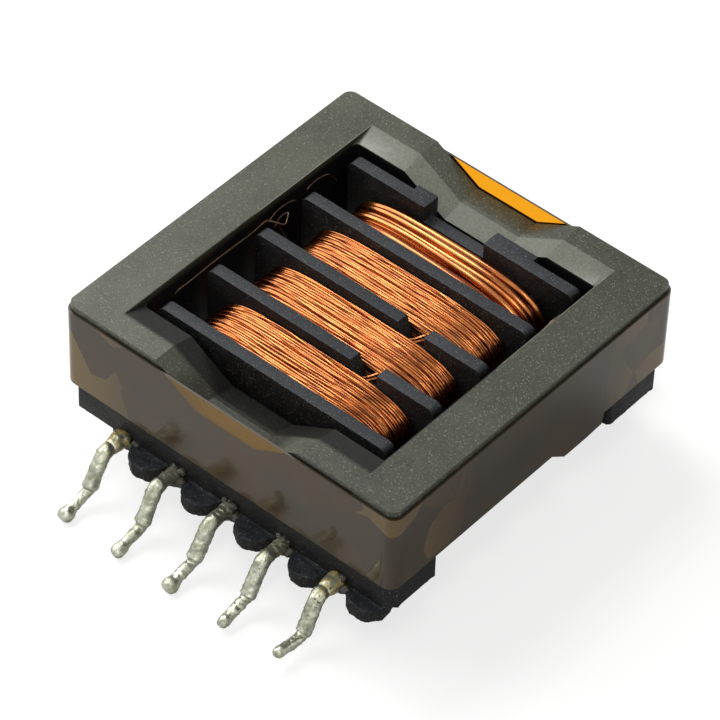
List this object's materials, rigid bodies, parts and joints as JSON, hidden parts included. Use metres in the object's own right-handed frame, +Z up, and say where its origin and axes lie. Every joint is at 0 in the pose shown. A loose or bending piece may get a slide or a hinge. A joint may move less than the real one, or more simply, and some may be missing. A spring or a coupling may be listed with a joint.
{
  "type": "surface-mount transformer",
  "caption": "Low-profile surface-mount transformer: a flat ferrite core taped round a flanged winding former with copper windings, and gull-wing terminals along both ends.",
  "frame": {"origin": "on the board plane, under the middle of the part", "axes": "+Z up from the board, +Y along the winding axis from the front row of terminals to the rear row, +X across the core"},
  "size_m": [0.0152, 0.0214, 0.0071],
  "materials": {
    "ferrite": "matt sintered ferrite, dark grey-green",
    "former_plastic": "matt black glass-filled plastic",
    "fine_copper": "enamelled copper, glossy",
    "heavy_copper": "enamelled copper, glossy",
    "amber_tape": "glossy amber film",
    "tinned_wire": "uneven tin plating",
    "solder": "dull solder with flux"
  },
  "bodies": {
    "root": {"core_half_front": "ferrite", "core_half_rear": "ferrite", "bobbin": "former_plastic", "secondary_coil_1": "fine_copper", "secondary_coil_2": "fine_copper", "secondary_coil_3": "fine_copper", "primary_coil": "heavy_copper", "crossover_wire_1": "fine_copper", "crossover_wire_2": "fine_copper", "secondary_start_lead": "fine_copper", "secondary_finish_lead": "fine_copper", "primary_start_lead": "heavy_copper", "primary_finish_lead": "heavy_copper", "core_tape": "amber_tape", "front_pin_1": "tinned_wire", "front_pin_2": "tinned_wire", "front_pin_3": "tinned_wire", "front_pin_4": "tinned_wire", "front_pin_5": "tinned_wire", "rear_pin_1": "tinned_wire", "rear_pin_2": "tinned_wire", "rear_pin_3": "tinned_wire", "rear_pin_4": "tinned_wire", "rear_pin_5": "tinned_wire", "front_solder_1": "solder", "front_solder_5": "solder", "rear_solder_2": "solder", "rear_solder_4": "solder"}
  },
  "joints": []
}
